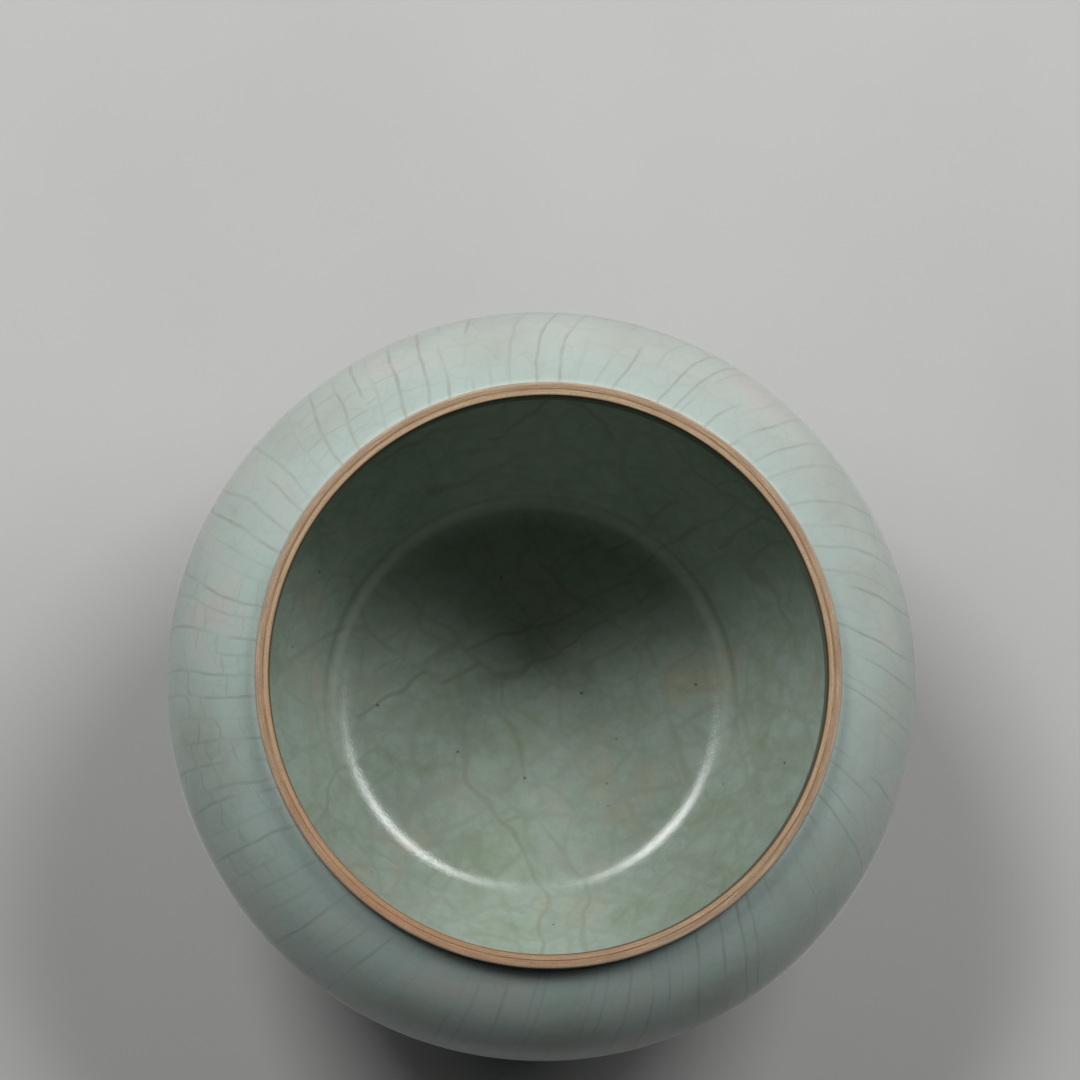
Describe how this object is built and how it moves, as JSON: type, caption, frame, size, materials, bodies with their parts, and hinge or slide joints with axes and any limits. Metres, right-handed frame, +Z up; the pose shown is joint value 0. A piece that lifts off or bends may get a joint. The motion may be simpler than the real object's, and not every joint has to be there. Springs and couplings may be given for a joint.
{
  "type": "celadon brush pot",
  "caption": "Wide-mouthed globular stoneware pot with a crackled celadon glaze, a bare clay lip and a bare foot ring, for holding or washing writing brushes.",
  "frame": {"origin": "middle of the foot ring's resting plane", "axes": "+Z up along the pot's axis, out of the mouth; X and Y are any two square directions, as the pot is round"},
  "size_m": [0.15, 0.15, 0.094],
  "materials": {
    "bare_stoneware": "matt, fired orange-tan",
    "outer_celadon": "satin crackled glaze",
    "inner_celadon": "glossy crackled glaze",
    "base_celadon": "satin crackled glaze"
  },
  "bodies": {
    "root": {"clay_body": "bare_stoneware", "outer_glaze": "outer_celadon", "inner_glaze": "inner_celadon", "base_glaze": "base_celadon"}
  },
  "joints": []
}
